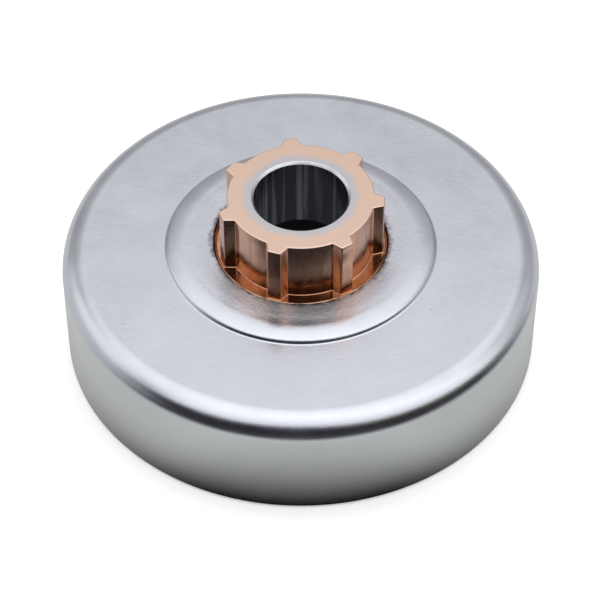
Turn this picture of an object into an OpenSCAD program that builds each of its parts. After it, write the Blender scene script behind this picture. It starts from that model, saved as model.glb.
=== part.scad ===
// Clutch drum of a chainsaw: a drawn steel cup with a splined hub brazed into its web.
// The cup stands on its open rim at z = 0, and the hub points up along +Z. Sizes are in millimetres.

/* [Drum cup] */
// Outer diameter of the cup
cup_d = 72.5; // [64:0.5:84]
// Height of the flat face above the open rim
cup_h = 18.1; // [15:0.1:24]
// Thickness of the drawn sheet
sheet = 2.3; // [1.8:0.1:2.8]
// Inner radius of the bend between the flat face and the wall
bend_inner_r = 1.1; // [0.6:0.1:3]
// Chamfer on both edges of the open rim
rim_chamfer = 0.4; // [0.2:0.1:0.8]

/* [Raised ring] */
// Diameter of the raised ring at its foot
ring_d = 41.3; // [38:0.1:46]
// How far the raised ring stands above the flat face
ring_h = 1; // [0.8:0.1:1.6]
// Radial length of the soft shoulder that falls towards the ring's edge
shoulder_run = 2.5; // [1.5:0.1:3.5]
// Slope at the end of the soft shoulder, in degrees
shoulder_slope = 15; // [8:1:22]
// Slope of the short step down to the flat face, in degrees
step_slope = 60; // [45:1:70]
// Radius of the rounding between the shoulder and the step
step_r = 0.7; // [0.3:0.1:0.9]
// Radius of the hollow at the ring's foot
foot_r = 0.25; // [0.1:0.05:0.5]

/* [Splined hub] */
// Height of the hub's upper end above the flat face
hub_rise = 10.3; // [8.5:0.1:13]
// How far the hub's lower end stands out under the web
hub_below = 0.8; // [0.6:0.1:2]
// Diameter at the foot of the splines
spline_root_d = 22; // [20.5:0.1:22.8]
// Diameter over the splines
spline_tip_d = 25; // [24:0.1:27]
// Number of splines
splines = 7; // [5:1:9]
// Width of a spline at its foot
spline_foot_w = 3.2; // [2.6:0.1:3.8]
// Width of a spline at its tip
spline_tip_w = 2; // [1.4:0.1:2.4]
// Radius of the hollow along the foot of a spline
spline_hollow_r = 0.3; // [0.1:0.05:0.5]
// Chamfer on the top corner of the splines
spline_chamfer = 0.2; // [0.1:0.1:0.6]
// Angle of the first spline about the axis, in degrees
spline_turn = -5.5; // [-25:0.5:25]
// How far the collar under the splines stands out past them
collar_step = 0.4; // [0.3:0.1:1]
// Depth of the collar's upper face below the top of the raised ring
ledge_depth = 0.5; // [0.3:0.05:0.9]
// Chamfer on the collar's lower edge
collar_chamfer = 0.2; // [0.1:0.05:0.25]

/* [Bore] */
// Diameter of the bore for the needle roller cage
bore_d = 14; // [12:0.1:16]
// Chamfer at both ends of the bore
bore_chamfer = 0.4; // [0.2:0.1:0.8]

/* [Braze] */
// Radial gap between the hub's collar and the web, filled with copper
braze_gap = 0.1; // [0.05:0.01:0.2]
// Chamfer on the upper edge of the web's hole, left clear of copper
hole_chamfer = 0.1; // [0.05:0.05:0.2]
// Leg of the copper bead under the web
under_bead = 0.3; // [0.2:0.05:0.3]
// Angle at which the copper meets the steel, in degrees
wetting_angle = 20; // [10:1:35]

/* [Hidden] */
$fn = 96;

// How far a shape that is cut away, or cut down, reaches past the faces that it cuts
over = 1;

// Cup
cup_r = cup_d / 2;
friction_r = cup_r - sheet;
bend_outer_r = bend_inner_r + sheet;
web_top = cup_h + ring_h;
web_under = web_top - sheet;

// Raised ring: the soft shoulder is an arc that starts level, so its run and slope fix its radius
ring_r = ring_d / 2;
shoulder_r = shoulder_run / sin(shoulder_slope);
shoulder_drop = shoulder_r * (1 - cos(shoulder_slope));
step_run = step_r * (sin(step_slope) - sin(shoulder_slope));
step_drop = step_r * (cos(shoulder_slope) - cos(step_slope));
foot_run = foot_r * sin(step_slope);
foot_rise = foot_r * (1 - cos(step_slope));
straight_run = (ring_h - shoulder_drop - step_drop - foot_rise) / tan(step_slope);
shoulder_end_x = ring_r - foot_run - straight_run - step_run;
shoulder_start_x = shoulder_end_x - shoulder_run;

// Recess that the raised ring leaves under the web, with a 45 degree side
recess_mouth_r = ring_r - sheet / 2;
recess_top_r = recess_mouth_r - ring_h;

// Hub
hub_bottom = web_under - hub_below;
hub_top = cup_h + hub_rise;
ledge_z = web_top - ledge_depth;
root_r = spline_root_d / 2;
tip_r = spline_tip_d / 2;
collar_r = tip_r + collar_step;
bore_r = bore_d / 2;

// Side of a spline: where it meets the root and tip circles, and how much it leans towards the middle
side_foot = [sqrt(root_r * root_r - spline_foot_w * spline_foot_w / 4), spline_foot_w / 2];
side_tip = [sqrt(tip_r * tip_r - spline_tip_w * spline_tip_w / 4), spline_tip_w / 2];
side_lean = atan((side_foot.y - side_tip.y) / (side_tip.x - side_foot.x));
side_normal = [sin(side_lean), cos(side_lean)];

// Centre of the hollow that is tangent to a spline's side and to the root circle
hollow_centre_r = root_r + spline_hollow_r;
hollow_angle = asin((spline_hollow_r + side_foot * side_normal) / hollow_centre_r) - side_lean;
hollow_centre = hollow_centre_r * [cos(hollow_angle), sin(hollow_angle)];

// Leg of the copper bead on the collar, which fills most of the corner up to the hole's chamfer
hole_r = collar_r + braze_gap;
bead_fill = 0.9;
bead = bead_fill * min(ledge_depth - hole_chamfer, collar_step + braze_gap);

// Points along an arc about centre c, from angle a0 to angle a1, both ends included
function arc(c, r, a0, a1, n = 6) =
    [for (i = [0:n]) let (a = a0 + (a1 - a0) * i / n) c + r * [cos(a), sin(a)]];

// Hollow free surface of a bead whose two legs are alike, drawn upwards from its foot
function bead_arc(foot, leg) =
    let (r = leg / (cos(wetting_angle) - sin(wetting_angle)))
    arc(foot + r * [-sin(wetting_angle), cos(wetting_angle)], r, 270 + wetting_angle, 360 - wetting_angle);

// Solid round can with a rounded upper corner
module can(r, h, corner_r) {
    rotate_extrude() {
        square([r - corner_r, h]);
        square([r, h - corner_r]);
        translate([r - corner_r, h - corner_r]) circle(r = corner_r);
    }
}

// Raised ring, still solid in the middle, which starts inside the web
module raised_ring() {
    shoulder_end = [shoulder_end_x, web_top - shoulder_drop];
    step_centre = shoulder_end - step_r * [sin(shoulder_slope), cos(shoulder_slope)];
    rotate_extrude()
    polygon(concat(
        [[0, web_under], [0, web_top]],
        arc([shoulder_start_x, web_top - shoulder_r], shoulder_r, 90, 90 - shoulder_slope),
        arc(step_centre, step_r, 90 - shoulder_slope, 90 - step_slope),
        arc([ring_r, cup_h + foot_r], foot_r, 270 - step_slope, 270),
        [[ring_r, web_under]]));
}

// Recess that the raised ring leaves under the web
module recess() {
    rotate_extrude()
    polygon([
        [0, cup_h - sheet - over],
        [0, web_under],
        [recess_top_r, web_under],
        [recess_mouth_r, cup_h - sheet],
        [recess_mouth_r, cup_h - sheet - over]]);
}

// Hole for the hub, with the chamfer at its upper edge
module hub_hole() {
    rotate_extrude()
    polygon([
        [0, web_under - over],
        [hole_r, web_under - over],
        [hole_r, web_top - hole_chamfer],
        [hole_r + hole_chamfer + over, web_top + over],
        [0, web_top + over]]);
}

// What the chamfers take off the inner and outer edges of the open rim
module rim_chamfers() {
    rotate_extrude() {
        polygon([
            [friction_r - over, -over],
            [friction_r + rim_chamfer + over, -over],
            [friction_r, rim_chamfer],
            [friction_r - over, rim_chamfer]]);
        polygon([
            [cup_r + over, -over],
            [cup_r - rim_chamfer - over, -over],
            [cup_r, rim_chamfer],
            [cup_r + over, rim_chamfer]]);
    }
}

module drum_cup() {
    color([0.74, 0.75, 0.79])
    difference() {
        union() {
            can(cup_r, cup_h, bend_outer_r);
            raised_ring();
        }
        translate([0, 0, -over]) can(friction_r, cup_h - sheet + over, bend_inner_r);
        recess();
        hub_hole();
        rim_chamfers();
    }
}

// One spline along +X, which narrows from its foot and runs on past its tip
module spline_outline() {
    side_end = side_tip + over * [cos(side_lean), -sin(side_lean)];
    polygon([
        [0, -side_foot.y],
        [side_foot.x, -side_foot.y],
        [side_end.x, -side_end.y],
        side_end,
        side_foot,
        [0, side_foot.y]]);
}

// The hollow between the root circle and the side of a spline
module hollow_outline() {
    difference() {
        polygon([
            hollow_centre,
            hollow_centre - spline_hollow_r * side_normal,
            [side_foot.x - over, 0],
            root_r * [cos(hollow_angle), sin(hollow_angle)]]);
        translate(hollow_centre) circle(r = spline_hollow_r);
    }
}

// Cross-section of the splined length, before it is cut down to the tip diameter
module splines_outline() {
    circle(r = root_r);
    for (i = [0:splines - 1])
        rotate(spline_turn + i * 360 / splines) {
            spline_outline();
            hollow_outline();
            mirror([0, 1]) hollow_outline();
        }
}

// The round body that the splined length is cut down to, with the chamfer at its top
module spline_envelope() {
    rotate_extrude()
    polygon([
        [0, ledge_z - over],
        [tip_r, ledge_z - over],
        [tip_r, hub_top - spline_chamfer],
        [tip_r - spline_chamfer, hub_top],
        [0, hub_top]]);
}

// The collar that the copper holds in the web, with the chamfer at its lower edge
module collar() {
    rotate_extrude()
    polygon([
        [0, hub_bottom],
        [collar_r - collar_chamfer, hub_bottom],
        [collar_r, hub_bottom + collar_chamfer],
        [collar_r, ledge_z],
        [0, ledge_z]]);
}

// Half-section of the bore and its two chamfers
module bore_section() {
    mouth_r = bore_r + bore_chamfer + over;
    polygon([
        [0, hub_bottom - over],
        [mouth_r, hub_bottom - over],
        [bore_r, hub_bottom + bore_chamfer],
        [bore_r, hub_top - bore_chamfer],
        [mouth_r, hub_top + over],
        [0, hub_top + over]]);
}

module splined_hub() {
    color([0.72, 0.46, 0.33])
    difference() {
        union() {
            collar();
            intersection() {
                translate([0, 0, ledge_z]) linear_extrude(hub_top - ledge_z) splines_outline();
                spline_envelope();
            }
        }
        rotate_extrude() bore_section();
    }
}

// The copper: a thin sleeve between collar and web, with a hollow bead at each end
module braze_ring() {
    under_arc = bead_arc([0, 0], under_bead);
    color([0.85, 0.5, 0.32])
    rotate_extrude()
    polygon(concat(
        [[collar_r, ledge_z]],
        bead_arc([hole_r - bead, ledge_z], bead),
        [[hole_r, web_under]],
        [for (p = under_arc) [collar_r + under_bead - p.x, web_under - p.y]]));
}

drum_cup();
splined_hub();
braze_ring();
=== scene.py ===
"""Looks of a chainsaw clutch drum, built round its packed CAD solids.

Three surfaces worked out with numpy stand for the three solids: the drawn steel cup, the coppered hub
with its splines, and the copper bead between them. All lengths are in metres unless a name ends in mm.
"""

import math

import bpy
import numpy as np
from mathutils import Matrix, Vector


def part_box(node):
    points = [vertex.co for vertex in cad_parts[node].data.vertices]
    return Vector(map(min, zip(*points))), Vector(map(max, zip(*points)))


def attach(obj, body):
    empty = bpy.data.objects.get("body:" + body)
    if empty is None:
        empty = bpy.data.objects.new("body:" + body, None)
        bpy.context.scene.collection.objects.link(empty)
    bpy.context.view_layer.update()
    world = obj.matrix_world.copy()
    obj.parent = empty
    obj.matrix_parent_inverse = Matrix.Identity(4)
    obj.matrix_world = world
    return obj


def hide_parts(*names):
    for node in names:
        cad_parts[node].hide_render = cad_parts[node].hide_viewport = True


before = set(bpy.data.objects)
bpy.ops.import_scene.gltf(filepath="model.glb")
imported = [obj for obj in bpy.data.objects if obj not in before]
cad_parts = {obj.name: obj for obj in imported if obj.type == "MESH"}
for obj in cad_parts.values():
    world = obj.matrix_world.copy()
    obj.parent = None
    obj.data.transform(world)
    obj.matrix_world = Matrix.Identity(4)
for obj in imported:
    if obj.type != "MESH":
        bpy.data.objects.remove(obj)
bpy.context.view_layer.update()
CUP_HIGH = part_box("drum_cup")[1]
HUB_LOW, HUB_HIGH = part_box("splined_hub")
BEAD_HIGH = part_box("braze_ring")[1]

bl_info = {
    "name": "Clutch drum",
    "version": (1, 0, 0),
    "blender": (4, 5, 0),
    "location": "3D View > Sidebar > Clutch drum",
    "description": "Builds a chainsaw clutch drum with its finishes and a plain stage",
    "category": "Add Mesh",
}

MM = 0.001

# Points round the axis in the surfaces of the cup and of the bead, and on the floor's edge
CUP_COLUMNS = 288
BEAD_COLUMNS = 360
FLOOR_COLUMNS = 96

# Brightness of the studio by height in degrees, all round and in its dim stretch on the -Y side
SKY_LOW, SKY_HIGH = -10.0, 90.0
OVERHEAD = ((57.0, 1.18), (67.0, 1.30), (77.0, 1.43), (90.0, 1.52))
BACK_SKY = (
    (-10.0, 0.50), (2.0, 0.42), (21.0, 0.43), (34.0, 0.50), (41.0, 0.58), (45.0, 0.80), (49.0, 1.12),
    (57.0, 1.20), *OVERHEAD[1:],
)
FRONT_SKY = ((-10.0, 0.02), (30.0, 0.02), (37.0, 0.12), (42.0, 0.55), (48.0, 1.05), *OVERHEAD)


def length(text, detail, default):
    """A length property in metres."""
    return bpy.props.FloatProperty(
        name=text, description=detail, default=default, min=0.0, unit="LENGTH", precision=5
    )


def angle(text, detail, default):
    """An angle property, given in degrees and kept in radians."""
    return bpy.props.FloatProperty(
        name=text, description=detail, default=math.radians(default), subtype="ANGLE"
    )


def colour(text, detail, default):
    """A linear colour property."""
    return bpy.props.FloatVectorProperty(
        name=text, description=detail, default=default, size=3, min=0.0, max=1.0, subtype="COLOR"
    )


class CupSizes(bpy.types.PropertyGroup):
    """Sizes of the drawn cup."""

    outer_r: length("Outer radius", "Radius of the cup's wall", CUP_HIGH.x)
    flat_z: length("Flat height", "Height of the flat face above the rim", CUP_HIGH.z - 1.0 * MM)
    sheet: length("Sheet", "Thickness of the drawn sheet", 2.3 * MM)
    bend_r: length("Bend", "Inner radius of the bend", 1.1 * MM)
    rim_chamfer: length("Rim chamfer", "Chamfer on both edges of the rim", 0.4 * MM)
    ring_r: length("Ring radius", "Radius of the raised ring at its foot", 20.65 * MM)
    ring_h: length("Ring height", "How far the ring stands above the flat", 1.0 * MM)
    shoulder_run: length("Shoulder run", "Radial length of the soft shoulder", 2.5 * MM)
    shoulder_slope: angle("Shoulder slope", "Slope at the end of the shoulder", 15)
    step_slope: angle("Step slope", "Slope of the step down to the flat", 60)
    step_r: length("Step rounding", "Radius between shoulder and step", 0.7 * MM)
    foot_r: length("Foot hollow", "Radius of the hollow at the ring's foot", 0.25 * MM)
    hole_r: length("Hole radius", "Radius of the hole for the hub", BEAD_HIGH.x)
    hole_chamfer: length("Hole chamfer", "Chamfer on the hole's upper edge", 0.1 * MM)
    waviness: length("Waviness", "Unevenness that drawing left in the wall", 0.012 * MM)


class HubSizes(bpy.types.PropertyGroup):
    """Sizes of the splined hub."""

    top_z: length("Top", "Height of the hub's upper end", HUB_HIGH.z)
    bottom_z: length("Bottom", "Height of the hub's lower end", HUB_LOW.z)
    collar_r: length("Collar radius", "Radius of the collar under the splines", HUB_HIGH.x)
    ledge_z: length("Ledge height", "Height of the collar's upper face", 18.6 * MM)
    root_r: length("Root radius", "Radius at the foot of the splines", 11.0 * MM)
    tip_r: length("Tip radius", "Radius over the splines", 12.5 * MM)
    foot_w: length("Spline foot", "Width of a spline at its foot", 3.2 * MM)
    tip_w: length("Spline tip", "Width of a spline at its tip", 2.0 * MM)
    hollow_r: length("Spline hollow", "Radius along the foot of a spline", 0.3 * MM)
    edge_r: length("Edge rounding", "Rounding of the splines' edges", 0.18 * MM)
    fillet_r: length("Ledge fillet", "Hollow where the splines stand on the ledge", 0.16 * MM)
    turn: angle("Turn", "Angle of the first spline about the axis", -5.5)
    splines: bpy.props.IntProperty(
        name="Splines", description="Number of splines", default=7, min=3
    )
    bore_r: length("Bore radius", "Radius of the bore", 7.0 * MM)
    bore_chamfer: length("Bore chamfer", "Chamfer at both ends of the bore", 0.4 * MM)
    collar_chamfer: length("Collar chamfer", "Chamfer on the collar's lower edge", 0.2 * MM)


class BeadSizes(bpy.types.PropertyGroup):
    """Sizes of the copper between hub and cup."""

    inner_r: length("Inner radius", "Radius of the hub's collar", HUB_HIGH.x)
    outer_r: length("Outer radius", "Radius of the cup's hole", 13.0 * MM)
    upper_leg: length("Upper leg", "Leg of the bead on the ledge", 0.36 * MM)
    under_leg: length("Under leg", "Leg of the bead under the web", 0.3 * MM)
    wetting: angle("Wetting angle", "Angle at which the copper meets the steel", 20)
    waviness: length("Waviness", "How much the bead's leg varies", 0.05 * MM)


class Finishes(bpy.types.PropertyGroup):
    """Colours of the metals."""

    steel_light: colour("Steel, light", "Brighter patches of the steel", (0.712, 0.722, 0.785))
    steel_dark: colour("Steel, dark", "Duller patches of the steel", (0.610, 0.624, 0.688))
    wall_steel: colour("Wall steel", "Steel of the wall", (0.640, 0.655, 0.640))
    peach: colour("Hub face", "Copper on the hub's upper face", (0.860, 0.620, 0.500))
    copper: colour("Copper", "Copper on the hub's sides", (0.700, 0.430, 0.300))
    orange: colour("Orange copper", "Warmer copper low on the hub", (0.600, 0.300, 0.155))
    bead: colour("Bead copper", "Copper of the bead", (0.740, 0.440, 0.280))
    # Dark brown round the hub's foot: partly a copper stain, partly painted shade where the hub stands in the
    # cup
    stain_and_shade: colour("Stain", "Brown stain round the hub's foot", (0.100, 0.050, 0.055))
    speck: colour("Specks", "Dark specks on the steel", (0.25, 0.26, 0.3))
    copper_streak: colour("Copper streaks", "Brown streaks on the hub's sides", (0.34, 0.17, 0.11))
    grey_ring: colour("Grey ring", "Bare ring of the hub's face near the bore", (0.63, 0.62, 0.66))
    # Painted shade of the bore's inside, and the painted highlight streaks on it
    bore_painted_shade: colour("Bore, dark", "Steel of the bore", (0.15, 0.15, 0.20))
    bore_painted_highlight: colour("Bore, light", "Streaks in the bore", (0.55, 0.56, 0.62))
    chamfer: colour("Bore chamfer", "Steel of the bore's chamfers", (0.66, 0.67, 0.70))
    bead_blotch: colour("Bead blotches", "Browner blotches on the bead", (0.30, 0.14, 0.09))


class StageSettings(bpy.types.PropertyGroup):
    """Camera, floor and lamp."""

    eye: bpy.props.FloatVectorProperty(
        name="Eye",
        description="Place of the camera",
        default=(-0.000124, -0.2492, 0.2718),
        subtype="TRANSLATION",
        precision=5,
    )
    target: bpy.props.FloatVectorProperty(
        name="Target",
        description="Point that the camera looks at",
        default=(-0.000124, 0.0, 0.00575),
        subtype="TRANSLATION",
        precision=5,
    )
    lens: bpy.props.FloatProperty(
        name="Lens", description="Focal length in millimetres", default=140.94
    )
    floor_r: length("Floor radius", "Radius of the round floor", 0.8)
    lamp_size: length("Lamp size", "Diameter of the soft lamp", 0.5)
    lamp_back: length("Lamp distance", "How far the lamp hangs behind the drum", 0.25)
    lamp_height: length("Lamp height", "Height of the lamp above the floor", 0.75)
    lamp_power: bpy.props.FloatProperty(
        name="Lamp power", description="Power of the soft lamp in watts", default=1.6
    )


def arc(x, z, r, start, end, steps):
    """Points x + r cos a, z + r sin a, for a from start to end in equal steps."""
    a = np.linspace(start, end, steps + 1)
    return np.stack([x + r * np.cos(a), z + r * np.sin(a)], 1)


def joined(parts, guard=0.04 * MM, gap=1.0 * MM):
    """One closed loop through all parts. A straight stretch between two parts gets a guard point close
    to each end, and points about a gap apart between them, so that smooth shading stays flat there."""
    loop = []
    for part, following in zip(parts, parts[1:] + parts[:1]):
        loop.append(part)
        step = following[0] - part[-1]
        size = np.hypot(*step)
        if size > 3 * guard:
            count = max(1, int(size / gap))
            inner = np.linspace(guard / size, 1 - guard / size, count + 1)
            loop.append(part[-1] + inner[:, None] * step)
    loop = np.concatenate(loop)
    apart = np.hypot(*(loop - np.roll(loop, 1, 0)).T) > 1e-7
    return loop[apart]


def corner(x, z, before, after, r=0.05 * MM, steps=3):
    """A rounded corner at x, z: an arc of radius r that is tangent to the directions before and after."""
    u = np.array(before, float) / np.hypot(*before)
    v = np.array(after, float) / np.hypot(*after)
    turn = u[0] * v[1] - u[1] * v[0]
    bend = math.atan2(turn, u @ v)
    side = np.array([-u[1], u[0]]) * np.sign(turn)
    centre = np.array([x, z]) - u * r * math.tan(abs(bend) / 2) + side * r
    first = math.atan2(*(-side)[::-1])
    return arc(centre[0], centre[1], r, first, first + bend, steps)


def put_mesh(name, points, material_rows=None):
    """A closed surface from a grid of points of shape (rows, columns, 3), wrapped both ways.
    The face between rows i, i+1 and columns j, j+1 is one quad. material_rows gives each row's material."""
    rows, columns = points.shape[:2]
    i, j = np.meshgrid(np.arange(rows), np.arange(columns), indexing="ij")
    i1, j1 = (i + 1) % rows, (j + 1) % columns
    quads = np.stack([i * columns + j, i * columns + j1, i1 * columns + j1, i1 * columns + j], -1)
    mesh = bpy.data.meshes.new(name)
    mesh.from_pydata(points.reshape(-1, 3).tolist(), [], quads.reshape(-1, 4).tolist())
    if material_rows is not None:
        mesh.polygons.foreach_set("material_index", np.repeat(material_rows, columns).astype(np.int32))
    mesh.shade_smooth()
    mesh.validate()
    mesh.update()
    obj = bpy.data.objects.new(name, mesh)
    bpy.context.scene.collection.objects.link(obj)
    return obj


def revolved(profile, columns):
    """Point (r cos a, r sin a, z) for each profile point (r, z) and each angle a round the axis."""
    a = np.linspace(0, 2 * np.pi, columns, endpoint=False)
    r, z = profile[:, 0, None], profile[:, 1, None]
    return np.stack([r * np.cos(a), r * np.sin(a), z + 0 * a], -1)


def waves(a, counts, seed):
    """Sum of cosines of whole numbers of waves round the axis, with seeded phases, from about -1 to 1."""
    phases = np.random.default_rng(seed).uniform(0, 2 * np.pi, len(counts))
    total = sum(np.cos(n * a + p) for n, p in zip(counts, phases))
    return total / math.sqrt(len(counts)) / 1.6


def cup_profile(s):
    """Half-section of the cup as one loop, clockwise from the hole's lower edge: up the hole, out over
    the raised ring and the flat, round the bend, down the wall, under the rim and back along the inside.
    The ring's shoulder is an arc that starts level and ends at the shoulder's slope, then a smaller arc
    leads into the step, and a hollow arc into the flat."""
    top = s.flat_z + s.ring_h
    under = top - s.sheet
    sin_a, cos_a = math.sin(s.shoulder_slope), math.cos(s.shoulder_slope)
    sin_b, cos_b = math.sin(s.step_slope), math.cos(s.step_slope)
    shoulder_r = s.shoulder_run / sin_a
    shoulder_drop = shoulder_r * (1 - cos_a)
    step_drop = s.step_r * (cos_a - cos_b)
    foot_rise = s.foot_r * (1 - cos_b)
    straight = (s.ring_h - shoulder_drop - step_drop - foot_rise) / math.tan(s.step_slope)
    end_x = s.ring_r - s.foot_r * sin_b - straight - s.step_r * (sin_b - sin_a)
    quarter = math.pi / 2
    step_x, step_z = end_x - s.step_r * sin_a, top - shoulder_drop - s.step_r * cos_a
    bend_out = s.bend_r + s.sheet
    inner = s.outer_r - s.sheet
    mouth_r = s.ring_r - s.sheet / 2
    c, r = s.rim_chamfer, s.outer_r
    right, left, up, down = (1, 0), (-1, 0), (0, 1), (0, -1)
    return joined([
        corner(s.hole_r, under, right, up, 0.03 * MM),
        corner(s.hole_r, top - s.hole_chamfer, up, (1, 1), 0.03 * MM),
        corner(s.hole_r + s.hole_chamfer, top, (1, 1), right, 0.05 * MM),
        arc(end_x - s.shoulder_run, top - shoulder_r, shoulder_r, quarter, quarter - s.shoulder_slope, 12),
        arc(step_x, step_z, s.step_r, quarter - s.shoulder_slope, quarter - s.step_slope, 10),
        arc(s.ring_r, s.flat_z + s.foot_r, s.foot_r, 3 * quarter - s.step_slope, 3 * quarter, 6),
        arc(r - bend_out, s.flat_z - bend_out, bend_out, quarter, 0, 32),
        corner(r, c, down, (-1, -1), 0.12 * MM),
        corner(r - c, 0, (-1, -1), left, 0.12 * MM),
        corner(inner + c, 0, left, (-1, 1), 0.12 * MM),
        corner(inner, c, (-1, 1), up, 0.12 * MM),
        arc(inner - s.bend_r, s.flat_z - s.sheet - s.bend_r, s.bend_r, 0, quarter, 12),
        corner(mouth_r, s.flat_z - s.sheet, left, (-1, 1), 0.4 * MM, 5),
        corner(mouth_r - s.ring_h, under, (-1, 1), left, 0.4 * MM, 5),
    ])


def spline_outline(s):
    """Outline of the splined length, seen from above and turned anticlockwise, with its outward normals.
    Half a spline runs along the tip circle, round the tip's edge, down the leaning side, through the
    hollow and along the root circle. It is mirrored, and repeated round the axis."""
    foot_x = math.sqrt(s.root_r**2 - s.foot_w**2 / 4)
    tip_x = math.sqrt(s.tip_r**2 - s.tip_w**2 / 4)
    lean = math.atan((s.foot_w - s.tip_w) / 2 / (tip_x - foot_x))
    away = foot_x * math.sin(lean) + s.foot_w / 2 * math.cos(lean)
    edge_at = math.asin((away - s.edge_r) / (s.tip_r - s.edge_r)) - lean
    hollow_at = math.asin((away + s.hollow_r) / (s.root_r + s.hollow_r)) - lean
    edge = (s.tip_r - s.edge_r) * np.array([math.cos(edge_at), math.sin(edge_at)])
    hollow = (s.root_r + s.hollow_r) * np.array([math.cos(hollow_at), math.sin(hollow_at)])
    half_pitch = math.pi / s.splines
    side = math.pi / 2 - lean
    pieces = [
        arc(0, 0, s.tip_r, 0, edge_at, 5),
        arc(edge[0], edge[1], s.edge_r, edge_at, side, 6)[1:],
        arc(hollow[0], hollow[1], s.hollow_r, side - math.pi, hollow_at - math.pi, 6),
        arc(0, 0, s.root_r, hollow_at, half_pitch, 12)[1:],
    ]
    flank = np.linspace(pieces[1][-1], pieces[2][0], 6)[1:-1]
    half = np.concatenate([pieces[0], pieces[1], flank, pieces[2], pieces[3]])
    whole = np.concatenate([half[:0:-1] * [1, -1], half[:-1]])
    turns = s.turn + np.arange(s.splines) * 2 * half_pitch
    x = np.outer(np.cos(turns), whole[:, 0]) - np.outer(np.sin(turns), whole[:, 1])
    y = np.outer(np.sin(turns), whole[:, 0]) + np.outer(np.cos(turns), whole[:, 1])
    outline = np.stack([x.ravel(), y.ravel()], 1)
    ahead = np.roll(outline, -1, 0) - outline
    behind = outline - np.roll(outline, 1, 0)
    ahead /= np.hypot(*ahead.T)[:, None]
    behind /= np.hypot(*behind.T)[:, None]
    along = ahead + behind
    along /= np.hypot(*along.T)[:, None]
    return outline, np.stack([along[:, 1], -along[:, 0]], 1)


def hub_rings(s):
    """Rows of the hub's surface, from the ledge up the splines, over the upper face, down the bore and
    back under the collar. A row is the spline outline pushed out by an offset, or a circle, or a mix of
    both, and each row is at one height. Returns the grid, and which rows belong to the bore."""
    outline, normal = spline_outline(s)
    round_unit = outline / np.hypot(*outline.T)[:, None]
    e, f, g = s.edge_r, s.fillet_r, 0.04 * MM
    rows, in_bore = [], []

    def add(xy, z, bore=False):
        rows.append(np.column_stack([xy, np.full(len(xy), z)]))
        in_bore.append(bore)

    hollow = np.linspace(0, math.pi / 2, 6)
    for a in hollow:
        add(outline + normal * f * (1 - math.sin(a)), s.ledge_z + f * (1 - math.cos(a)))
    for t in np.linspace(0, 1, 9)[1:-1]:
        add(outline, s.ledge_z + f + t * (s.top_z - e - s.ledge_z - f))
    for a in np.linspace(0, math.pi / 2, 6):
        add(outline - normal * e * (1 - math.cos(a)), s.top_z - e * (1 - math.sin(a)))
    mouth_r = s.bore_r + s.bore_chamfer
    inner, outer = round_unit * mouth_r, outline - normal * e
    span = s.root_r - mouth_r
    for t in (g / span, 0.15, 0.35, 0.6, 0.8, 1 - 2 * g / span):
        add(outer + t * (inner - outer), s.top_z)
    lower = s.bottom_z + s.bore_chamfer
    bore = np.concatenate([
        corner(mouth_r, s.top_z, (-1, 0), (-1, -1), 0.06 * MM),
        corner(s.bore_r, s.top_z - s.bore_chamfer, (-1, -1), (0, -1), 0.06 * MM),
        [[s.bore_r, s.top_z - s.bore_chamfer - 0.1 * MM]],
        [[s.bore_r, z] for z in np.linspace(s.top_z - 2 * MM, lower + 2 * MM, 5)],
        [[s.bore_r, lower + 0.1 * MM]],
        corner(s.bore_r, lower, (0, -1), (1, -1), 0.06 * MM),
        corner(mouth_r, s.bottom_z, (1, -1), (1, 0), 0.06 * MM),
    ])
    for r, z in bore:
        add(round_unit * r, z, True)
    c = s.collar_chamfer
    collar = np.concatenate([
        [[mouth_r + 0.1 * MM, s.bottom_z], [s.collar_r - c - 0.1 * MM, s.bottom_z]],
        corner(s.collar_r - c, s.bottom_z, (1, 0), (1, 1), 0.05 * MM),
        corner(s.collar_r, s.bottom_z + c, (1, 1), (0, 1), 0.05 * MM),
        [[s.collar_r, s.ledge_z - 0.08 * MM]],
        corner(s.collar_r, s.ledge_z, (0, 1), (-1, 0), 0.03 * MM),
    ])
    for r, z in collar:
        add(round_unit * r, z)
    rim, foot = round_unit * (s.collar_r - 0.06 * MM), outline + normal * f
    for t in (0.0, 0.3, 0.6, 0.9):
        add(rim + t * (foot - rim), s.ledge_z)
    return np.array(rows), np.array(in_bore)


def bead_grid(s, ledge_z, web_under, columns):
    """Surface of the copper: the upper bead, the thin sleeve and the bead under the web, one loop at each
    angle. A bead's free surface is a hollow arc whose ends meet the steel at the wetting angle, so its
    radius is leg / (cos w - sin w). The leg varies a little round the axis."""
    a = np.linspace(0, 2 * np.pi, columns, endpoint=False)
    w = s.wetting
    sweep = np.linspace(1.5 * np.pi + w, 2 * np.pi - w, 9)
    unit = np.stack([np.cos(sweep) - math.sin(w), np.sin(sweep) + math.cos(w)], 1)
    unit /= math.cos(w) - math.sin(w)
    upper = s.upper_leg - s.waviness * (0.5 + 0.5 * waves(a, (3, 5, 8, 13, 21), 4))
    under = s.under_leg - s.waviness * (0.5 + 0.5 * waves(a, (2, 5, 9, 14), 9))
    r = [s.outer_r - upper + upper * u[0] for u in unit]
    z = [ledge_z + upper * u[1] for u in unit]
    still = 0 * a
    r += [s.outer_r + still, s.outer_r + still]
    z += [ledge_z - 0.2 * MM + still, web_under + 0.1 * MM + still]
    r += [s.inner_r + under - under * u[0] for u in unit]
    z += [web_under - under * u[1] for u in unit]
    r += [s.inner_r + still, s.inner_r + still]
    z += [web_under + 0.1 * MM + still, ledge_z - 0.1 * MM + still]
    r, z = np.array(r), np.array(z)
    return np.stack([r * np.cos(a), r * np.sin(a), z], -1)


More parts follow.
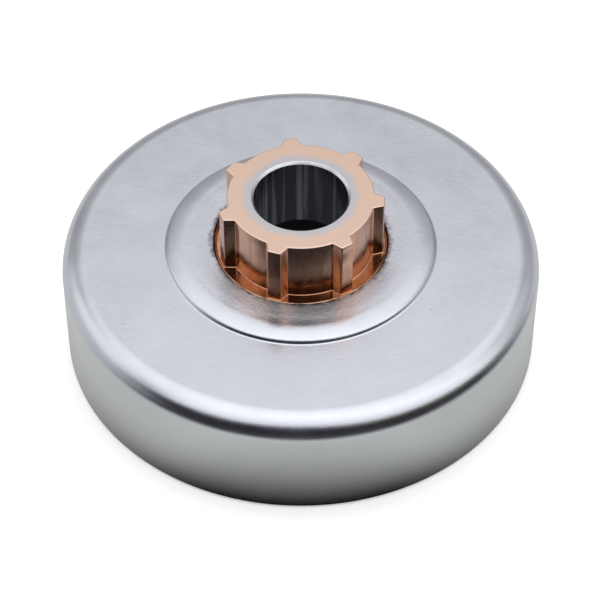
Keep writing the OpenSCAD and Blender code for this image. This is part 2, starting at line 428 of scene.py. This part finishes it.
class Graph:
    """Adds nodes to one node tree. A number or a colour is set on an input, and a socket is linked to it."""

    def __init__(self, tree):
        self.tree = tree
        tree.nodes.clear()

    def feed(self, socket, value):
        if isinstance(value, bpy.types.NodeSocket):
            self.tree.links.new(value, socket)
        elif hasattr(value, "__len__") and len(value) == 3 and len(socket.default_value) == 4:
            socket.default_value = (*value, 1.0)
        else:
            socket.default_value = value

    def add(self, kind, inputs=None, **settings):
        node = self.tree.nodes.new(kind)
        for key, value in settings.items():
            setattr(node, key, value)
        for key, value in (inputs or {}).items():
            self.feed(node.inputs[key], value)
        return node

    def math(self, operation, *values, clamp=False):
        inputs = dict(enumerate(values))
        return self.add("ShaderNodeMath", inputs, operation=operation, use_clamp=clamp).outputs[0]

    def smooth(self, value, low, high, start=0.0, end=1.0):
        """A soft step from start, where value is low, to end, where it is high."""
        node = self.add("ShaderNodeMapRange", {0: value, 1: low, 2: high, 3: start, 4: end})
        node.interpolation_type = "SMOOTHSTEP"
        return node.outputs[0]

    def mix(self, share, first, second, blend="MIX"):
        node = self.add("ShaderNodeMix", data_type="RGBA", blend_type=blend)
        for key, value in ((0, share), (6, first), (7, second)):
            self.feed(node.inputs[key], value)
        return node.outputs[2]

    def noise(self, vector, scale, detail=3.0, roughness=0.5, distortion=0.0):
        values = {
            "Vector": vector, "Scale": scale, "Detail": detail,
            "Roughness": roughness, "Distortion": distortion,
        }
        return self.add("ShaderNodeTexNoise", values).outputs["Fac"]

    def curve(self, value, low, high, points):
        """A smooth curve through points (position from low to high, value up to 2)."""
        share = self.add("ShaderNodeMapRange", {0: value, 1: low, 2: high}).outputs[0]
        ramp = self.add("ShaderNodeValToRGB", {0: share})
        ramp.color_ramp.interpolation = "LINEAR"
        stops = ramp.color_ramp.elements
        for i, (place, height) in enumerate(points):
            stop = stops[i] if i < 2 else stops.new(1.0)
            stop.position = (place - low) / (high - low)
            stop.color = (height / 2, height / 2, height / 2, 1.0)
        return self.math("MULTIPLY", ramp.outputs[0], 2.0)

    def group(self, name, inputs=None):
        node = self.add("ShaderNodeGroup")
        node.node_tree = bpy.data.node_groups[name]
        for key, value in (inputs or {}).items():
            self.feed(node.inputs[key], value)
        return node


def new_group(name, inputs, outputs):
    """An empty node group. inputs gives each input's default, and outputs the names of what it puts out."""
    tree = bpy.data.node_groups.new(name, "ShaderNodeTree")
    graph = Graph(tree)
    for key, value in inputs.items():
        kind = "NodeSocketVector" if value is None else "NodeSocketFloat"
        socket = tree.interface.new_socket(name=key, in_out="INPUT", socket_type=kind)
        if value is not None:
            socket.default_value = value
    for key in outputs:
        tree.interface.new_socket(name=key, in_out="OUTPUT", socket_type="NodeSocketFloat")
    source = graph.add("NodeGroupInput").outputs
    sink = graph.add("NodeGroupOutput").inputs
    return graph, source, sink


def make_axis_group():
    """Radius and height in millimetres, and azimuth in degrees, from -Y towards +X."""
    g, _, out = new_group("Axis coordinates", {}, ("Radius", "Azimuth", "Height"))
    place = g.add("ShaderNodeTexCoord").outputs["Object"]
    x, y, z = g.add("ShaderNodeSeparateXYZ", {0: place}).outputs
    square = g.math("ADD", g.math("MULTIPLY", x, x), g.math("MULTIPLY", y, y))
    g.feed(out["Radius"], g.math("MULTIPLY", g.math("SQRT", square), 1000.0))
    turn = g.math("ARCTAN2", x, g.math("MULTIPLY", y, -1.0))
    g.feed(out["Azimuth"], g.math("DEGREES", turn))
    g.feed(out["Height"], g.math("MULTIPLY", z, 1000.0))


def make_clouds_group():
    """Soft patches: two noises of unlike scale, mixed and spread to the full range."""
    g, source, out = new_group("Clouds", {"Scale": 100.0, "Contrast": 1.0}, ("Value",))
    place = g.add("ShaderNodeTexCoord").outputs["Object"]
    wide = g.noise(place, source["Scale"], 3.0, 0.55, 0.4)
    fine = g.noise(place, g.math("MULTIPLY", source["Scale"], 3.7), 2.0, 0.5, 0.6)
    both = g.math("ADD", g.math("MULTIPLY", wide, 0.7), g.math("MULTIPLY", fine, 0.3))
    spread = g.math("MULTIPLY", g.math("SUBTRACT", both, 0.5), source["Contrast"])
    g.feed(out["Value"], g.math("ADD", spread, 0.5, clamp=True))


def make_grain_group():
    """Sandy grain as a height, finer and coarser grains together."""
    g, source, out = new_group("Sandy grain", {"Scale": 4000.0}, ("Height",))
    place = g.add("ShaderNodeTexCoord").outputs["Object"]
    fine = g.noise(place, source["Scale"], 2.0, 0.6)
    coarse = g.noise(place, g.math("MULTIPLY", source["Scale"], 0.35), 2.0, 0.5)
    g.feed(out["Height"], g.math("ADD", fine, g.math("MULTIPLY", coarse, 0.8)))


def make_streaks_group():
    """Streaks along the axis: noise whose place is squeezed along Z."""
    g, source, out = new_group("Streaks", {"Scale": 900.0, "Squeeze": 0.06, "Contrast": 1.6}, ("Value",))
    place = g.add("ShaderNodeTexCoord").outputs["Object"]
    squeeze = g.add("ShaderNodeCombineXYZ", {0: 1.0, 1: 1.0, 2: source["Squeeze"]}).outputs[0]
    scaled = g.add("ShaderNodeVectorMath", {0: place, 1: squeeze}, operation="MULTIPLY").outputs[0]
    value = g.noise(scaled, source["Scale"], 3.0, 0.6)
    spread = g.math("MULTIPLY", g.math("SUBTRACT", value, 0.5), source["Contrast"])
    g.feed(out["Value"], g.math("ADD", spread, 0.5, clamp=True))


def make_specks_group():
    """Small round specks, few and scattered: near the seed point of some cells only."""
    g, source, out = new_group("Specks", {"Scale": 600.0, "Size": 0.08, "Share": 0.08}, ("Mask",))
    place = g.add("ShaderNodeTexCoord").outputs["Object"]
    cells = g.add("ShaderNodeTexVoronoi", {"Vector": place, "Scale": source["Scale"]})
    near = g.math("DIVIDE", cells.outputs["Distance"], source["Size"])
    dot = g.smooth(near, 0.5, 1.0, 1.0, 0.0)
    pick = g.add("ShaderNodeSeparateColor", {0: cells.outputs["Color"]}).outputs[0]
    chosen = g.math("LESS_THAN", pick, source["Share"])
    g.feed(out["Mask"], g.math("MULTIPLY", dot, chosen))


def make_material(name, rough, metallic=1.0):
    """A material with one Principled shader, its node graph and that shader."""
    material = bpy.data.materials.new(name)
    material.use_nodes = True
    g = Graph(material.node_tree)
    shader = g.add("ShaderNodeBsdfPrincipled", {"Metallic": metallic, "Roughness": rough})
    sink = g.add("ShaderNodeOutputMaterial")
    g.feed(sink.inputs["Surface"], shader.outputs[0])
    return material, g, shader


def make_drum_steel(f):
    """Satin steel with cloudy patches, a sandy grain that is strongest near the hub, fine specks, soft
    upright streaks on the wall and a dark brown band round the hub's foot: a copper stain with painted shade."""
    material, g, shader = make_material("drum steel", 0.3)
    axis = g.group("Axis coordinates").outputs
    radius, height = axis["Radius"], axis["Height"]
    clouds = g.group("Clouds", {"Scale": 95.0, "Contrast": 2.2}).outputs["Value"]
    streaks = g.group("Streaks", {"Scale": 170.0, "Squeeze": 0.3, "Contrast": 2.0}).outputs["Value"]
    wall = g.smooth(height, 16.0, 14.0)
    steel = g.mix(clouds, f.steel_dark, f.steel_light)
    wall_steel = g.mix(g.math("MULTIPLY", streaks, 0.35), f.wall_steel, f.steel_dark)
    base = g.mix(wall, steel, wall_steel)
    # A ragged band round the hub's foot, darkened: copper stain and painted shade together
    ragged = g.group("Clouds", {"Scale": 700.0, "Contrast": 3.0}).outputs["Value"]
    reach = g.math("ADD", radius, g.math("MULTIPLY", ragged, -0.9))
    stain_and_shade = g.smooth(reach, 12.5, 13.7, 0.9, 0.0)
    ring_zone = g.math("MULTIPLY", g.smooth(height, 18.4, 18.8), g.smooth(radius, 17.2, 15.6))
    top_side = g.smooth(height, 16.2, 16.9)
    stain_and_shade_mask = g.math("MULTIPLY", stain_and_shade, top_side)
    base = g.mix(stain_and_shade_mask, base, f.stain_and_shade)
    specks = g.group("Specks", {"Scale": 420.0, "Size": 0.07, "Share": 0.10}).outputs["Mask"]
    base = g.mix(g.math("MULTIPLY", specks, 0.5), base, f.speck)
    g.feed(shader.inputs["Base Color"], base)
    rough = g.math("ADD", g.smooth(clouds, 0.0, 1.0, 0.22, 0.29), g.math("MULTIPLY", ring_zone, 0.14))
    g.feed(shader.inputs["Roughness"], rough)
    grain = g.group("Sandy grain", {"Scale": 3600.0}).outputs["Height"]
    depth = g.math("ADD", g.math("MULTIPLY", ring_zone, 0.75), g.smooth(height, 15.2, 16.5, 0.12, 0.25))
    bump = g.add("ShaderNodeBump", {"Strength": 1.0, "Distance": 0.00004})
    g.feed(bump.inputs["Height"], g.math("MULTIPLY", grain, depth))
    g.feed(shader.inputs["Normal"], bump.outputs[0])
    return material


def make_hub_copper(f):
    """Copper-washed steel: a peach face that turns grey near the bore, and browner, glossier sides with
    upright streaks that get more orange towards the ledge."""
    material, g, shader = make_material("hub coppered steel", 0.2)
    axis = g.group("Axis coordinates").outputs
    radius, height = axis["Radius"], axis["Height"]
    streaks = g.group("Streaks", {"Scale": 1100.0, "Squeeze": 0.05, "Contrast": 2.4}).outputs["Value"]
    blotches = g.group("Clouds", {"Scale": 260.0, "Contrast": 2.6}).outputs["Value"]
    low = g.math("MULTIPLY", g.smooth(height, 25.5, 19.0), g.smooth(blotches, 0.2, 0.8, 0.35, 1.0))
    side = g.mix(low, f.copper, f.orange)
    side = g.mix(g.math("MULTIPLY", streaks, 0.45), side, f.copper_streak)
    near_bore = g.math("ADD", radius, g.math("MULTIPLY", blotches, -0.8))
    face = g.mix(g.smooth(near_bore, 7.4, 8.9), f.grey_ring, f.peach)
    top = g.smooth(height, 28.15, 28.36)
    g.feed(shader.inputs["Base Color"], g.mix(top, side, face))
    side_rough = g.smooth(streaks, 0.0, 1.0, 0.14, 0.24)
    top_rough = g.math("ADD", g.math("MULTIPLY", blotches, 0.06), 0.3)
    rough = g.math("ADD", g.math("MULTIPLY", top, top_rough),
                   g.math("MULTIPLY", g.math("SUBTRACT", 1.0, top), side_rough))
    g.feed(shader.inputs["Roughness"], rough)
    grain = g.group("Sandy grain", {"Scale": 2500.0}).outputs["Height"]
    bump = g.add("ShaderNodeBump", {"Strength": 1.0, "Distance": 0.000004})
    g.feed(bump.inputs["Height"], g.math("ADD", grain, streaks))
    g.feed(shader.inputs["Normal"], bump.outputs[0])
    return material


def make_bore_steel(f):
    """Bare steel of the bore: painted shade inside, with lighter streaks of painted highlight along the axis,
    and light grey on its chamfers.
    """
    material, g, shader = make_material("bore steel", 0.25)
    axis = g.group("Axis coordinates").outputs
    streaks = g.group("Streaks", {"Scale": 700.0, "Squeeze": 0.03, "Contrast": 3.0}).outputs["Value"]
    # Inside the bore the colour is painted shade, with painted highlight streaks along the axis
    dark = g.mix(g.smooth(streaks, 0.45, 1.0), f.bore_painted_shade, f.bore_painted_highlight)
    g.feed(shader.inputs["Base Color"], g.mix(g.smooth(axis["Radius"], 7.02, 7.1), dark, f.chamfer))
    g.feed(shader.inputs["Roughness"], g.smooth(streaks, 0.0, 1.0, 0.2, 0.34))
    return material


def make_bead_copper(f):
    """Braze copper with browner blotches."""
    material, g, shader = make_material("braze copper", 0.22)
    blotches = g.group("Clouds", {"Scale": 500.0, "Contrast": 3.0}).outputs["Value"]
    g.feed(shader.inputs["Base Color"], g.mix(g.smooth(blotches, 0.45, 0.9), f.bead, f.bead_blotch))
    g.feed(shader.inputs["Roughness"], g.smooth(blotches, 0.0, 1.0, 0.16, 0.34))
    return material


def make_floor_material():
    """Pale floor. The camera sees it white with the object's soft shadow. Metal sees a painted shadow instead: a
    glow that is darker close to the drum, most of all in front, where light from above and behind doesn't reach,
    that fades out further in front, and is dim under the drum, where the floor's colour is painted dark too. It
    is clear from below."""
    material = bpy.data.materials.new("floor")
    material.use_nodes = True
    g = Graph(material.node_tree)
    axis = g.group("Axis coordinates").outputs
    # Painted shadow as metal sees it: the glow lifts with the gap from the drum's wall, over a longer reach in
    # front
    gap = g.math("MAXIMUM", g.math("SUBTRACT", axis["Radius"], 36.25), 0.0)
    side = g.math("ABSOLUTE", axis["Azimuth"])
    depth = g.smooth(side, 0.0, 48.0, 10.0, 3.6)
    open_share = g.math("POWER", g.math("DIVIDE", gap, depth), 1.5)
    rise = g.math("SUBTRACT", 1.0, g.math("POWER", math.e, g.math("MULTIPLY", open_share, -1.0)))
    least = g.smooth(side, 18.0, 80.0, 0.0, 0.5)
    most = g.smooth(side, 0.0, 50.0, 0.95, 0.68)
    near = g.math("ADD", least, g.math("MULTIPLY", g.math("SUBTRACT", most, least), rise))
    # Further out in front the glow fades nearly to black: a painted reflection of the studio's dim side
    front = g.smooth(g.math("ABSOLUTE", g.math("SUBTRACT", axis["Azimuth"], 12.0)), 55.0, 100.0, 1.0, 0.0)
    fade = g.math("MULTIPLY", g.smooth(gap, 12.0, 38.0, 0.0, 0.96), front)
    seen = g.math("MULTIPLY", near, g.math("SUBTRACT", 1.0, fade))
    # Under the drum the glow is held low: painted shade inside the cup
    inside = g.math("LESS_THAN", axis["Radius"], 34.0)
    seen = g.math("MAXIMUM", g.math("MULTIPLY", seen, g.math("SUBTRACT", 1.0, inside)),
                  g.math("MULTIPLY", inside, 0.10))
    rays = g.add("ShaderNodeLightPath").outputs
    outside = g.smooth(axis["Radius"], 30.0, 34.0)
    diffuse = g.add("ShaderNodeBsdfDiffuse")
    # The floor's colour under the drum is painted dark: painted shade inside the cup
    g.feed(diffuse.inputs["Color"], g.mix(outside, (0.1, 0.1, 0.1), (0.9, 0.9, 0.9)))
    glow = g.add("ShaderNodeEmission", {"Color": (1.0, 1.0, 1.0), "Strength": g.math("MULTIPLY", outside, 0.28)})
    for_camera = g.add("ShaderNodeAddShader")
    g.feed(for_camera.inputs[0], diffuse.outputs[0])
    g.feed(for_camera.inputs[1], glow.outputs[0])
    painted_shadow_for_metal = g.add("ShaderNodeEmission", {"Color": (0.98, 1.0, 0.985), "Strength": seen})
    first = g.add("ShaderNodeMixShader", {0: rays["Is Camera Ray"]})
    g.feed(first.inputs[1], diffuse.outputs[0])
    g.feed(first.inputs[2], for_camera.outputs[0])
    second = g.add("ShaderNodeMixShader", {0: rays["Is Glossy Ray"]})
    g.feed(second.inputs[1], first.outputs[0])
    g.feed(second.inputs[2], painted_shadow_for_metal.outputs[0])
    back = g.add("ShaderNodeNewGeometry").outputs["Backfacing"]
    clear = g.add("ShaderNodeBsdfTransparent")
    third = g.add("ShaderNodeMixShader", {0: back})
    g.feed(third.inputs[1], second.outputs[0])
    g.feed(third.inputs[2], clear.outputs[0])
    g.feed(g.add("ShaderNodeOutputMaterial").inputs["Surface"], third.outputs[0])
    material.cycles.emission_sampling = "NONE"
    return material


def make_world():
    """White for the camera. For everything else a plain studio: bright overhead, less bright low down,
    and a dim, soft stretch on the -Y side, violet in the middle and olive towards +X."""
    world = bpy.data.worlds.new("studio")
    world.use_nodes = True
    bpy.context.scene.world = world
    g = Graph(world.node_tree)
    direction = g.add("ShaderNodeTexCoord").outputs["Generated"]
    x, y, z = g.add("ShaderNodeSeparateXYZ", {0: direction}).outputs
    rise = g.math("DEGREES", g.math("ARCSINE", z))
    turn = g.math("DEGREES", g.math("ARCTAN2", x, g.math("MULTIPLY", y, -1.0)))
    back = g.curve(rise, SKY_LOW, SKY_HIGH, BACK_SKY)
    left_box = g.smooth(g.math("ABSOLUTE", g.math("ADD", turn, 103.0)), 14.0, 42.0, 1.10, 0.0)
    left_box = g.math("MULTIPLY", left_box, g.smooth(rise, -14.0, 30.0, 0.45, 1.0))
    right_box = g.smooth(g.math("ABSOLUTE", g.math("SUBTRACT", turn, 108.0)), 14.0, 38.0, 0.74, 0.0)
    right_box = g.math("MULTIPLY", right_box, g.smooth(rise, -14.0, 34.0, 0.5, 1.0))
    around = g.math("MAXIMUM", back, g.math("MAXIMUM", left_box, right_box))
    left = g.math("MULTIPLY", g.math("MAXIMUM", g.math("MULTIPLY", turn, -1.0), 0.0), 0.22)
    right = g.math("MULTIPLY", g.math("MAXIMUM", turn, 0.0), 0.40)
    raised = g.math("ADD", rise, g.math("ADD", left, right))
    twice = g.math("GREATER_THAN", g.add("ShaderNodeLightPath").outputs["Glossy Depth"], 1.5)
    facing = g.smooth(g.math("ABSOLUTE", g.math("ADD", turn, 4.0)), 48.0, 78.0, 1.0, 0.0)
    lowered = g.math("MULTIPLY", g.math("MULTIPLY", twice, facing), 34.0)
    raised = g.math("SUBTRACT", raised, lowered)
    front = g.curve(raised, SKY_LOW, SKY_HIGH, FRONT_SKY)
    share = g.smooth(g.math("ABSOLUTE", g.math("SUBTRACT", turn, 13.0)), 68.0, 94.0, 1.0, 0.0)
    mixed = g.mix(share, around, front)
    dim = g.math("MULTIPLY", g.smooth(raised, 45.0, 25.0), share)
    tint = g.mix(g.smooth(turn, 5.0, 45.0), (0.92, 0.88, 1.25), (1.15, 1.15, 0.70))
    tinted = g.mix(dim, mixed, g.mix(1.0, mixed, tint, "MULTIPLY"))
    camera = g.add("ShaderNodeLightPath").outputs["Is Camera Ray"]
    final = g.mix(camera, tinted, (1.0, 1.0, 1.0))
    sky = g.add("ShaderNodeBackground", {"Color": final, "Strength": 1.0})
    g.feed(g.add("ShaderNodeOutputWorld").inputs["Surface"], sky.outputs[0])


def dress(obj, node, slot_name, *materials):
    """Gives a piece its materials and its body, and hides the CAD node that it stands for. slot_name is not
    used.
    """
    for material in materials:
        obj.data.materials.append(material)
    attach(obj, "root")
    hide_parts(node)


class DRUM_OT_cup(bpy.types.Operator):
    """Build the drawn steel cup"""

    bl_idname = "drum.cup"
    bl_label = "Drum cup"

    def execute(self, context):
        scene = context.scene
        s = scene.drum_cup_sizes
        points = revolved(cup_profile(s), CUP_COLUMNS)
        radius = np.hypot(points[..., 0], points[..., 1])
        turn = np.arctan2(points[..., 1], points[..., 0])
        outside = np.clip((radius - s.outer_r + 6 * MM) / (5 * MM), 0, 1)
        low_wave = waves(turn, (3, 5, 8), 11) * np.cos(points[..., 2] / s.flat_z * 2.0)
        points[..., :2] *= (1 + outside * s.waviness * (low_wave - 1) / radius)[..., None]
        cup = put_mesh("drawn_cup", points)
        dress(cup, "drum_cup", "drum_steel", make_drum_steel(scene.drum_finishes))
        return {"FINISHED"}


class DRUM_OT_hub(bpy.types.Operator):
    """Build the coppered hub with its splines and bore"""

    bl_idname = "drum.hub"
    bl_label = "Splined hub"

    def execute(self, context):
        scene = context.scene
        points, in_bore = hub_rings(scene.drum_hub_sizes)
        hub = put_mesh("coppered_hub", points, in_bore)
        materials = make_hub_copper(scene.drum_finishes), make_bore_steel(scene.drum_finishes)
        dress(hub, "splined_hub", "hub_coppered_steel", *materials)
        return {"FINISHED"}


class DRUM_OT_bead(bpy.types.Operator):
    """Build the copper bead between hub and cup"""

    bl_idname = "drum.bead"
    bl_label = "Copper bead"

    def execute(self, context):
        scene = context.scene
        cup, hub = scene.drum_cup_sizes, scene.drum_hub_sizes
        web_under = cup.flat_z + cup.ring_h - cup.sheet
        points = bead_grid(scene.drum_bead_sizes, hub.ledge_z, web_under, BEAD_COLUMNS)
        bead = put_mesh("copper_bead", points)
        dress(bead, "braze_ring", "braze_copper", make_bead_copper(scene.drum_finishes))
        return {"FINISHED"}


class DRUM_OT_stage(bpy.types.Operator):
    """Set up the camera, the floor, the lamp and the studio round the drum"""

    bl_idname = "drum.stage"
    bl_label = "Stage"

    def execute(self, context):
        scene = context.scene
        s = scene.drum_stage
        scene.view_settings.view_transform = "Standard"
        eye, target = np.array(s.eye), np.array(s.target)
        lens = bpy.data.cameras.new("camera")
        lens.lens, lens.sensor_width = s.lens, 36.0
        lens.clip_start, lens.clip_end = 0.01, 10.0
        camera = bpy.data.objects.new("camera", lens)
        camera.location = eye
        camera.rotation_euler = (math.atan2(target[1] - eye[1], eye[2] - target[2]), 0.0, 0.0)
        scene.collection.objects.link(camera)
        scene.camera = camera
        a = np.linspace(0, 2 * np.pi, FLOOR_COLUMNS, endpoint=False)
        rim = np.stack([s.floor_r * np.cos(a), s.floor_r * np.sin(a), 0 * a], 1)
        mesh = bpy.data.meshes.new("floor")
        mesh.from_pydata(rim.tolist(), [], [list(range(len(rim)))])
        floor = bpy.data.objects.new("floor", mesh)
        scene.collection.objects.link(floor)
        mesh.materials.append(make_floor_material())
        make_world()
        lamp = bpy.data.lights.new("soft lamp", "AREA")
        lamp.shape, lamp.size, lamp.energy = "DISK", s.lamp_size, s.lamp_power
        place = bpy.data.objects.new("soft lamp", lamp)
        place.location = (0.0, s.lamp_back, s.lamp_height)
        place.rotation_euler = (-math.atan2(s.lamp_back, s.lamp_height), 0.0, 0.0)
        place.visible_glossy = False
        scene.collection.objects.link(place)
        return {"FINISHED"}


class DRUM_PT_panel(bpy.types.Panel):
    """Sizes, colours and building steps of the clutch drum"""

    bl_idname = "DRUM_PT_panel"
    bl_label = "Clutch drum"
    bl_space_type = "VIEW_3D"
    bl_region_type = "UI"
    bl_category = "Clutch drum"

    def draw(self, context):
        layout = self.layout
        for operator in OPERATORS:
            layout.operator(operator.bl_idname)
        for name, kind in SETTINGS.items():
            box = layout.box()
            box.label(text=kind.__doc__)
            for key in kind.__annotations__:
                box.prop(getattr(context.scene, name), key)


SETTINGS = {
    "drum_cup_sizes": CupSizes,
    "drum_hub_sizes": HubSizes,
    "drum_bead_sizes": BeadSizes,
    "drum_finishes": Finishes,
    "drum_stage": StageSettings,
}
OPERATORS = (DRUM_OT_stage, DRUM_OT_cup, DRUM_OT_hub, DRUM_OT_bead)


def register():
    for cls in (*SETTINGS.values(), *OPERATORS, DRUM_PT_panel):
        bpy.utils.register_class(cls)
    for name, kind in SETTINGS.items():
        setattr(bpy.types.Scene, name, bpy.props.PointerProperty(type=kind))


def unregister():
    for name in SETTINGS:
        delattr(bpy.types.Scene, name)
    for cls in (DRUM_PT_panel, *reversed(OPERATORS), *reversed(SETTINGS.values())):
        bpy.utils.unregister_class(cls)


def main():
    """Builds everything."""
    register()
    for make in (
        make_axis_group, make_clouds_group, make_grain_group,
        make_streaks_group, make_specks_group,
    ):
        make()
    bpy.ops.drum.stage()
    bpy.ops.drum.cup()
    bpy.ops.drum.hub()
    bpy.ops.drum.bead()


if __name__ == "__main__":
    main()
